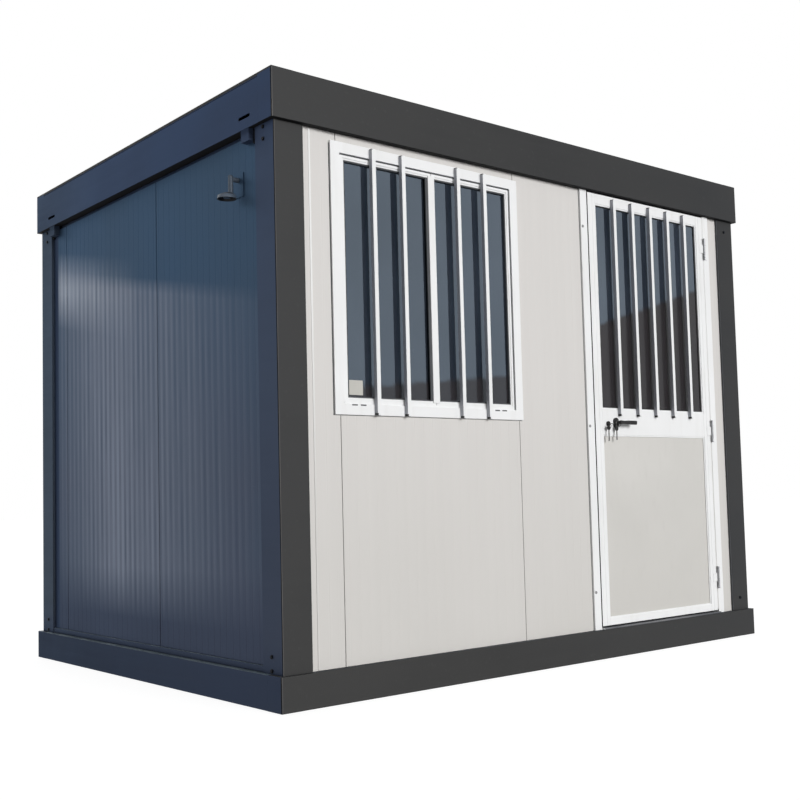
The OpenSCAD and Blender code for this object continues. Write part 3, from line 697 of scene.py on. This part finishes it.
# Each sash is a ring with a clipped bead inside it and a seal behind the bead. The
# two meet at a raised stile.
glass_low, glass_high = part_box("window_glass")
sash_low, sash_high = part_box("window_sashes")
pane_edges = sorted({round(v.co.x, 4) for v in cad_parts["window_glass"].data.vertices})
meeting_left, meeting_right = pane_edges[1:3]
split = (meeting_left + meeting_right) / 2
(left_end, front, bottom), (right_end, back, top) = sash_low, sash_high
reveal, sash_face, at_stile, bead = 0.0055, 0.0115, 0.005, 0.0065
bm, seals = bmesh.new(), bmesh.new()
ring(seals, left_end, right_end, bottom, top + 0.002, front + 0.0008, front + 0.004, 0.0062)
for left, right, wide in ((left_end, split - 0.001, "right"), (split + 0.001, right_end, "left")):
    free_left, free_right = (1, 0) if wide == "right" else (0, 1)
    ring(bm, left + reveal * free_left, right - reveal * free_right, bottom + reveal,
         top - 0.0035, front, back, sash_face, 0.0012, {wide: -0.008})
    left += reveal + sash_face if free_left else at_stile
    right -= reveal + sash_face if free_right else at_stile
    low_edge, high_edge = bottom + reveal + sash_face, top - 0.0035 - sash_face
    ring(bm, left, right, low_edge, high_edge, front + 0.0022, back - 0.001, 0.0075, 0.0016)
    ring(seals, left + bead, right - bead, low_edge + bead, high_edge - bead,
         front + 0.0045, back - 0.003, 0.006)
block(bm, (left_end + 0.0005, front + 0.0003, bottom + 0.0004),
      (right_end - 0.0055, front + 0.006, bottom + 0.007), 0.0004)
block(bm, (left_end + 0.0005, front + 0.0003, bottom + 0.002),
      (left_end + 0.007, front + 0.006, top - 0.004), 0.0004)
block(bm, (meeting_left, front - 0.0035, bottom + 0.016),
      (meeting_right, front + 0.006, top - 0.014), 0.0022, 3)
fit("window_sash_profiles", bm, (white_coat,), ["window_sashes"])
block(seals, (meeting_left - 0.013, front + 0.0005, bottom + 0.0245),
      (meeting_left + 0.001, front + 0.0065, top - 0.0225), 0.001)
fit("window_sash_seals", seals, (weather_seal,))

bm = bmesh.new()
block(bm, (frame_low[0] - 0.0035, wall_face - 0.003, frame_low[2] - 0.003),
      (frame_low[0] + 0.0005, wall_face + 0.002, frame_high[2] - 0.01), 0.001)
block(bm, (frame_low[0] - 0.003, wall_face - 0.002, frame_low[2] - 0.0024),
      (frame_high[0], wall_face + 0.002, frame_low[2] + 0.0005), 0.001)
for face in bm.faces:
    face.material_index = int(face.calc_center_median().z < frame_low[2] + 0.0003)
fit("window_sealant", bm, (weather_seal, sealant))

pane_front = front + 0.0145
fit_blocks("window_panes", [((left, pane_front, glass_low[2]),
                             (right, pane_front + 0.004, glass_high[2]))
                            for left, right in (pane_edges[0:2], pane_edges[2:4])],
           0.0003, pane, 1, ["window_glass"])
fit_blocks("window_label", [((glass_low[0] + 0.013, pane_front - 0.0006, glass_low[2] + 0.012),
                             (glass_low[0] + 0.082, pane_front + 0.0001, glass_low[2] + 0.072))],
           0.0002, paper, 1)
drain_low, drain_high, drain_half = 1.1595, 1.165, 0.014
fit_blocks("window_drain_caps", [((x - drain_half, frame_low[1] - 0.0012, drain_low),
                                  (x + drain_half, frame_low[1] + 0.004, drain_high))
                                 for x in (-1.1364, -1.0933, -0.3465, -0.303)],
           0.001, weather_seal)


# ----- bars over the glass
# Square 20 mm aluminium tube, white like the frames and screwed to them, with a
# dark plastic plug pressed into each open end. The tubes' side faces are painted grey
# as shade, and the plugs' dark sides at the bars' ends stand in for shade there too.

plug_plastic = mottled("dark_plug", (0.012, 0.012, 0.013), (0.025, 0.025, 0.026), 40,
                       (0.5, 0.15), 0.35, grain=90)
shaded_side_coat = mottled("painted_shade_side_coat", (0.36, 0.37, 0.41), (0.5, 0.51, 0.55), 10,
                    (0.42, 0.14), 0.2, grain=24, stretch=(1, 1, 0.1), detail=4)


def barred(node, name, body):
    """Tubes and plugs in place of the node's plain bars."""
    source = welded(node)
    middles = sorted({round(sum(v.co.x for v in f.verts) / len(f.verts), 4)
                      for f in source.faces if f.normal.z > 0.9})
    source.free()
    (_, front, bottom), (_, back, top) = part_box(node)
    half, lip = (back - front) / 2, 0.0035
    tubes, plugs = bmesh.new(), bmesh.new()
    for x in middles:
        block(tubes, (x - half, front, bottom + 0.009), (x + half, back, top - 0.004), 0.0016)
        for low, high in ((bottom, bottom + 0.012), (top - 0.008, top)):
            block(tubes, (x - half + 0.005, front + 0.0002, low + 0.0003),
                  (x + half - 0.0002, front + lip, high), 0.001)
            block(plugs, (x - half + 0.0006, front + lip + 0.0001, low),
                  (x + half - 0.0006, back - 0.0006, high), 0.0014)
    # Side faces take the grey side coat: painted shade.
    for face in tubes.faces:
        face.material_index = int(abs(face.normal.x) > 0.9)
    fit(name + "_tubes", tubes, (white_coat, shaded_side_coat), [node], body)
    fit(name + "_plugs", plugs, (plug_plastic,), (), body)


barred("window_bars", "window_bar", "cabin")


# ----- door frame
# Aluminium jambs with a stop behind the leaf, a head stop under the roof frame
# and a tread plate over the base frame. A rubber seal lines the stop.

tread = mottled("tread_plate", (0.09, 0.095, 0.105), (0.2, 0.2, 0.21), 14, (0.42, 0.2), 0.4,
                (0.4, 0.75), stretch=(0.3, 1, 1), detail=5, metal=0.6)

frame_low, frame_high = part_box("door_frame")
leaf_low, leaf_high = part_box("door_leaf")
bm = welded("door_frame")
ease(bm, 0.0015)
for face in bm.faces:
    centre = face.calc_center_median()
    in_gap = centre.y > frame_low[1] + 0.003 and face.normal.y > -0.5 \
        and leaf_low[0] - 0.01 < centre.x < leaf_high[0] + 0.01
    face.material_index = 2 if in_gap and centre.z > leaf_low[2] and face.normal.x > -0.5 else 0
    if centre.z < frame_low[2] + 0.0085 and frame_low[0] + 0.06 < centre.x < frame_high[0] - 0.06:
        face.material_index = 1
fixing_face = min(v.co.y for v in bm.verts if v.co.x < frame_low[0] + 0.03 and v.co.z > 0.3)
fit("door_casing", bm, (white_coat, tread, rubber), ["door_frame"])
fit_blocks("door_sealant", [((frame_low[0] - 0.003, wall_face - 0.003, frame_low[2] + 0.001),
                             (frame_low[0] + 0.001, wall_face + 0.002, frame_high[2] - 0.002))],
           0.001, sealant)


def drum(bm, segments, radius, depth, at, turn=None, top=None):
    """A short cylinder, upright or turned to lie along Y ("X") or X ("Y"). top is
    the second radius. Returns its faces."""
    placed = Matrix.Translation(at)
    if turn:
        placed @= Matrix.Rotation(math.pi / 2, 4, turn)
    made = bmesh.ops.create_cone(bm, cap_ends=True, segments=segments, radius1=radius,
                                 radius2=top or radius, depth=depth, matrix=placed)
    return {f for v in made["verts"] for f in v.link_faces}


bm = bmesh.new()
for z in (0.313, 1.105, 2.077):
    drum(bm, 20, 0.0075, 0.0025, (frame_low[0] + 0.013, fixing_face - 0.001, z), "X", 0.006)
fit("door_fixing_caps", bm, (sealant,))
fit_blocks("door_lip_seal", [((leaf_high[0] + 0.0012, leaf_low[1] + 0.0012, leaf_low[2] + 0.006),
                              (leaf_high[0] + 0.0068, leaf_low[1] + 0.03, leaf_high[2] - 0.002))],
           0.0006, trim_white)
post_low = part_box("post_front_right")[0]
fit_blocks("right_post_sealant",
           [((post_low[0] - 0.0055, post_low[1] + 0.001, frame_low[2] + 0.001),
             (post_low[0] + 0.0005, wall_face + 0.001, roof_bottom - 0.001))],
           0.0015, weather_seal)

stop_front, past_leaf = leaf_high[1] + 0.005, 0.0065
bm = bmesh.new()
ring(bm, leaf_low[0] - past_leaf, leaf_high[0] + past_leaf, leaf_low[2] + 0.004,
     leaf_high[2] + 0.003, stop_front - 0.003, stop_front + 0.001, 0.009, 0.001)
fit("door_stop_seal", bm, (rubber,))


# ----- door leaf
# Aluminium stiles and rails, butted at the corners, round a pane above the lock
# rail and a coated sheet panel below it. Each infill is held by clipped beads.

def coat(node, material):
    """Gives a solid that stays as it is its finish."""
    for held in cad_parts[node].material_slots:
        held.material = material


pane_low, pane_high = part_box("door_glass")
sheet_low, sheet_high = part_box("door_panel")
front, back = leaf_low[1], leaf_high[1]
bm = bmesh.new()
for left, right in ((leaf_low[0], pane_low[0]), (pane_high[0], leaf_high[0])):
    block(bm, (left, front, leaf_low[2]), (right, back, leaf_high[2]), 0.0018)
for bottom, top in ((leaf_low[2], sheet_low[2]), (sheet_high[2], pane_low[2]),
                    (pane_high[2], leaf_high[2])):
    block(bm, (pane_low[0], front + 0.0003, bottom), (pane_high[0], back - 0.0003, top), 0.0014)
line_in, line_half = 0.022, 0.0018
for low, high in ((pane_low, pane_high), (sheet_low, sheet_high)):
    for near, far in ((front + 0.003, low[1]), (high[1], back - 0.003)):
        ring(bm, low[0] - 0.001, high[0] + 0.001, low[2] - 0.001, high[2] + 0.001,
             near, far, 0.008, 0.0022)
    for at in (low[0] - line_in, high[0] + line_in):
        cut(bm, 0, at - line_half, at, at + line_half)
for v in bm.verts:
    if v.co.y < front + 0.0004 and \
            min(abs(v.co.x - low[0] + line_in), abs(v.co.x - high[0] - line_in)) < 0.0005:
        v.co.y += line_half
seal_back = front + 0.0125
cut(bm, 1, seal_back)
for face in bm.faces:
    centre = face.calc_center_median()
    inside = leaf_low[0] + 0.005 < centre.x < leaf_high[0] - 0.005 \
        and leaf_low[2] + 0.005 < centre.z < leaf_high[2] - 0.005
    if front + 0.002 < centre.y < seal_back and not inside \
            and max(abs(face.normal.x), abs(face.normal.z)) > 0.9:
        face.material_index = 1
fit("door_leaf_profiles", bm, (white_coat, rubber), ["door_leaf"], "door")

bm = bmesh.new()
ring(bm, pane_low[0] + bead, pane_high[0] - bead, pane_low[2] + bead, pane_high[2] - bead,
     pane_low[1] - 0.0025, pane_low[1], 0.005)
fit("door_pane_seal", bm, (rubber,), (), "door")
coat("door_glass", door_pane)

door_sheet, shader, place = finish("pale_grey_door_sheet", 0.35)
soft = steps(cloud(place, 2, detail=4), 0.3, 0.7)
handled = steps(cloud(place, 30, (1, 1, 0.3), 4), 0.55, 0.85)
tint = between(soft, (0.6, 0.588, 0.56), (0.655, 0.64, 0.612))
tint = between(0.6 * (1 - steps(coordinate(place, 2), 0.2, 0.9)), tint, (0.56, 0.545, 0.515))
paint(shader, between(handled * 0.15, tint, (0.48, 0.46, 0.43)), 0.42 + 0.12 * soft)
relief(shader, place, 180, 0.0003, 0.35)
coat("door_panel", door_sheet)

barred("door_bars", "door_bar", "door")


# ----- hinges
# Three barrel hinges of cast aluminium. The frame's two end knuckles hold the
# steel pin, and the leaf's middle knuckle turns on it.

hinge_metal, shader, place = finish("hinge_aluminium", 0.5, 0.85)
cast = cloud(place, 70, detail=4)
paint(shader, between(cast, (0.17, 0.175, 0.185), (0.32, 0.325, 0.335)), 0.32 + 0.2 * cast)
relief(shader, place, 70, 0.0002, 0.3, 4)

knuckle_radius = 0.008
hinge_axis = Vector((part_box("door_knuckles")[1][0] - knuckle_radius,
                     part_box("door_knuckles")[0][1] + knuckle_radius, 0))
for node, name, body in (("door_hinge_pins", "door_hinge_frame_knuckles", "cabin"),
                         ("door_knuckles", "door_hinge_leaf_knuckles", "door")):
    bm = welded(node)
    bmesh.ops.scale(bm, vec=(0.66, 0.66, 1), space=Matrix.Translation(-hinge_axis),
                    verts=[v for v in bm.verts
                           if 0.0045 < (v.co.xy - hinge_axis.xy).length < knuckle_radius + 0.0002])
    bmesh.ops.translate(bm, vec=(0, 0.003, 0),
                        verts=[v for v in bm.verts if abs(v.co.x - hinge_axis.x) > 0.03
                               and v.co.y < hinge_axis.y + knuckle_radius])
    ease(bm, 0.0006)
    for face in bm.faces:
        off = face.calc_center_median().xy - hinge_axis.xy
        face.material_index = int(abs(off.x) > 0.006 or off.y > 0.0062)
    fit(name, bm, (hinge_metal, white_coat), [node], body)


# ----- lock and lever
# A black lever on an oval rose, and a round key cylinder beside it with a key
# left in. A split ring and a spare key hang from each of them.

black = mottled("black_handle", (0.004, 0.004, 0.0045), (0.014, 0.014, 0.015), 45,
                (0.3, 0.18), 0.25, (0.45, 0.8), None, (300, 0.0001, 0.3), detail=4)
key_metal = mottled("nickel_key", (0.07, 0.07, 0.072), (0.16,) * 3, 90, (0.28, 0.2), 0.5,
                    grain=160, metal=1)

bm = welded("door_lock")
lock_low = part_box("door_lock")[0]
cylinder_drop = 0.006
for v in bm.verts:
    if v.co.x < lock_low[0] + 0.0265:
        v.co.z -= cylinder_drop
ease(bm, 0.0022, 3, lambda e: all(v.co.y < leaf_low[1] - 0.004 for v in e.verts))
fit("door_rose_and_cylinder", bm, (black,), ["door_lock"], "door")

lever_low, lever_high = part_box("door_handle")
spindle = Vector((lever_low[0] + 0.01, 0, (lever_low[2] + lever_high[2]) / 2))
neck_back, grip_back = lever_high[1], lever_low[1] + 0.013
waist, sunk = 0.028, 0.004
bm = bmesh.new()
drum(bm, 32, 0.008, neck_back - grip_back + sunk,
     (spindle.x, (neck_back + grip_back - sunk) / 2, spindle.z), "X")
block(bm, lever_low, (lever_high[0], grip_back, lever_high[2]))
cut(bm, 0, lever_low[0] + waist, lever_low[0] + 0.06, lever_low[0] + 0.09)
bmesh.ops.scale(bm, vec=(1, 1, 0.8), space=Matrix.Translation((0, 0, -spindle.z)),
                verts=[v for v in bm.verts if abs(v.co.x - lever_low[0] - waist) < 1e-4])
ease(bm, 0.0042, 4, lambda e: any(v.co.y < grip_back - 0.002 or v.co.x > spindle.x + 0.012
                                  for v in e.verts))
fit("door_lever", bm, (black,), ["door_handle"], "handle")

cylinder = Vector((lock_low[0] + 0.013, leaf_low[1] - 0.007, spindle.z - cylinder_drop))
bm = bmesh.new()
block(bm, (cylinder.x - 0.0045, cylinder.y - 0.01, cylinder.z - 0.0013),
      (cylinder.x + 0.0045, cylinder.y + 0.001, cylinder.z + 0.0013), 0.0004, 1)
drum(bm, 28, 0.0105, 0.0022, (cylinder.x, cylinder.y - 0.019, cylinder.z))


def hung_key(x, y, top, length):
    """A flat key that hangs from its round black head."""
    block(bm, (x - 0.004, y - 0.0008, top - length), (x + 0.004, y + 0.0008, top - 0.014),
          0.0005, 1)
    for face in drum(bm, 28, 0.011, 0.0036, (x, y, top - 0.009), "X"):
        face.material_index = 1


def split_ring(centre, radius, turned):
    """A ring of round wire."""
    hoop = bmesh.ops.create_circle(bm, cap_ends=True, radius=0.0012, segments=8,
                                   matrix=Matrix.Translation((radius, 0, 0)))["verts"]
    known = set(bm.verts) - set(hoop)
    bmesh.ops.spin(bm, geom=list(hoop[0].link_faces) + list(hoop), cent=(0, 0, 0),
                   axis=(0, 1, 0), angle=math.tau, steps=36, use_merge=True, dvec=(0, 0, 0))
    made = [v for v in bm.verts if v not in known]
    bmesh.ops.transform(bm, verts=made, matrix=Matrix.Translation(centre)
                        @ Matrix.Rotation(turned, 4, "Z"))


hung_key(cylinder.x - 0.015, cylinder.y - 0.01, cylinder.z - 0.011, 0.074)
split_ring((cylinder.x - 0.008, cylinder.y - 0.014, cylinder.z - 0.011), 0.0115,
           math.radians(60))
hung_key(spindle.x - 0.012, leaf_low[1] - 0.0165, spindle.z - 0.02, 0.065)
split_ring((spindle.x - 0.001, leaf_low[1] - 0.0185, spindle.z - 0.006), 0.016, 0)
bmesh.ops.recalc_face_normals(bm, faces=bm.faces)
fit("door_keys", bm, (key_metal, black), (), "door")


# ----- power inlet
# A moulded surface inlet for the supply cable: a wall plate, a neck and a round
# housing whose socket looks down out of the rain.

inlet_plastic = mottled("inlet_plastic", (0.06, 0.085, 0.12), (0.1, 0.12, 0.15), 25,
                        (0.45, 0.15), 0.4, (0.35, 0.75), None, (320, 0.0002, 0.3), detail=4)
socket_black = mottled("socket_insert", (0.01, 0.01, 0.012), (0.024, 0.024, 0.026), 60,
                       (0.4, 0.2), 0.3, grain=120)

bm = welded("power_inlet")
(inlet_left, inlet_front, inlet_foot), (plate_back, inlet_back, _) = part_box("power_inlet")
inlet_y = (inlet_front + inlet_back) / 2
tube_axis = Vector((inlet_left + 0.058, inlet_y, 0))
socket_axis = Vector((inlet_left + 0.039, inlet_y, 0))
plate = plate_back - 0.012
tube = [v for v in bm.verts if v.co.z > inlet_foot + 0.023 and v.co.x < plate
        and abs((v.co.xy - tube_axis.xy).length - 0.013) < 0.0006]
bmesh.ops.scale(bm, vec=(0.78, 0.78, 1), space=Matrix.Translation(-tube_axis), verts=tube)
for v in bm.verts:
    climb = v.co.z - inlet_foot - 0.012
    if 0 < climb < 0.0125 and v not in tube and v.co.x < plate:
        v.co.xy = tube_axis.xy + (v.co.xy - tube_axis.xy) * (1 - 30 * climb)
    if abs(v.co.x - plate_back + 0.008) < 0.0005:
        v.co.x += 0.005
ease(bm, 0.0014)
for face in bm.faces:
    centre = face.calc_center_median()
    in_socket = (centre.xy - socket_axis.xy).length < 0.0335 and centre.z < inlet_foot + 0.022
    face.material_index = 2 if centre.x > plate_back - 0.004 else int(in_socket)
drum(bm, 32, 0.014, 0.013, (socket_axis.x, inlet_y, inlet_foot + 0.0105), top=0.012)
fit("power_inlet_housing", bm, (inlet_plastic, socket_black, dark_skin),
    ["power_inlet"])


# ----- floor and roof
# Plywood deck with a speckled vinyl face on folded joists, a white ceiling
# panel, and a galvanised roof sheet with trapezoid ribs that drain to the back.

vinyl, shader, place = finish("speckled_vinyl", 0.4)
speck = steps(cloud(place, 130, detail=2), 0.56, 0.66)
fleck = steps(cloud(place, 95, detail=2, rough=0.7), 0.6, 0.7)
tint = between(speck, (0.2, 0.205, 0.21), (0.33, 0.335, 0.34))
paint(shader, between(fleck * 0.7, tint, (0.09, 0.09, 0.095)), 0.4 + 0.2 * cloud(place, 5))
coat("floor_deck", vinyl)

# Skirting and ceiling trims run round the room and stop at the door.
room_left, room_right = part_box("left_wall_middle")[1][0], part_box("right_wall_middle")[0][0]
room_front, room_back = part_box("front_wall_middle")[1][1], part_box("back_wall_middle")[0][1]
deck_top, ceiling_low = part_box("floor_deck")[1][2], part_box("ceiling_panel")[0][2]
trim = 0.01
fit_blocks("room_trims", [
    ((left, near, bottom), (right, far, top))
    for bottom, top in ((deck_top + 0.0005, deck_top + 0.052),
                        (ceiling_low - 0.034, ceiling_low - 0.0005))
    for left, right, near, far in ((room_left, room_left + trim, room_front, room_back),
                                   (room_right - trim, room_right, room_front, room_back),
                                   (room_left, room_right, room_back - trim, room_back),
                                   (room_left, frame_low[0], room_front, room_front + trim),
                                   (frame_high[0], room_right, room_front, room_front + trim))],
    0.002, white_coat)

joist_paint = lacquered_steel("joist_primer",
                              [(0, (0.05, 0.048, 0.046)), (0.25, (0.045, 0.045, 0.047))],
                              (0.085, 0.08, 0.07), (1, 0.1, 3), 0.2)
coat("floor_joists", joist_paint)
coat("ceiling_panel", inner_skin)

zinc, shader, place = finish("galvanised_sheet", 0.4, 0.75)
spangle = place.node("ShaderNodeTexVoronoi", None, {"Vector": place, "Scale": 45}, output=1)
flakes = place.node("ShaderNodeSeparateColor", None, {"Color": spangle})
stain = steps(cloud(place, 1.6, (1, 0.3, 1), 5), 0.4, 0.75)
tint = between(flakes, (0.26, 0.275, 0.29), (0.38, 0.395, 0.41))
paint(shader, between(stain * 0.4, tint, (0.2, 0.19, 0.175)), 0.38 + 0.2 * flakes)

low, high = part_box("roof_sheet")
rib_count, rib_top, rib_foot, valley, sheet = 12, 0.02, 0.035, low[2] + 0.003, 0.0009
pitch = (high[0] - low[0]) / rib_count
bm = bmesh.new()
bmesh.ops.create_grid(bm, x_segments=1, y_segments=1, size=0.5, matrix=Matrix.LocRotScale(
    ((low[0] + high[0]) / 2, (low[1] + high[1]) / 2, valley), None,
    (high[0] - low[0], high[1] - low[1], 1)))
for i in range(rib_count):
    middle = low[0] + (i + 0.5) * pitch
    cut(bm, 0, middle - rib_foot, middle - rib_top, middle + rib_top, middle + rib_foot)
    bmesh.ops.translate(bm, vec=(0, 0, high[2] - valley),
                        verts=[v for v in bm.verts if abs(v.co.x - middle) < rib_top + 0.001])
bmesh.ops.solidify(bm, geom=bm.faces, thickness=sheet)
bmesh.ops.recalc_face_normals(bm, faces=bm.faces)
bmesh.ops.translate(bm, vec=(0, 0, min(0, high[2] - max(v.co.z for v in bm.verts))),
                    verts=bm.verts)
fit("roof_sheet_ribbed", bm, (zinc,), ["roof_sheet"], crease=15)


# ----- bolts
# Hexagon bolts on washers hold each post's end plates to the corner boxes. On the
# long sides the right-hand posts have two more.

bolt_steel = mottled("painted_bolt", (0.006, 0.008, 0.012), (0.018, 0.02, 0.026), 120,
                     (0.4, 0.2), 0.08, (0.5, 0.75), detail=4)

(outer_x, outer_y, post_foot), (_, _, post_head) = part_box("post_front_left")
outer_x, outer_y, from_corner = abs(outer_x), abs(outer_y), 0.075
bm = bmesh.new()
for sy in (-1, 1):
    for z, inner in ((post_foot + 0.012, False), (post_foot + 0.065, True),
                     (post_head - 0.062, True), (post_head - 0.014, False)):
        spots = [((sx * outer_x, sy * (outer_y - from_corner), z), Vector((sx, 0, 0)), "Y")
                 for sx in (-1, 1)]
        if inner:
            spots.append(((outer_x - from_corner, sy * outer_y, z), Vector((0, sy, 0)), "X"))
        for spot, out, turn in spots:
            drum(bm, 24, 0.0085, 0.0012, out * 0.0006 + Vector(spot), turn)
            drum(bm, 6, 0.0065, 0.0042, out * 0.003 + Vector(spot), turn)
fit("post_bolts", bm, (bolt_steel,))
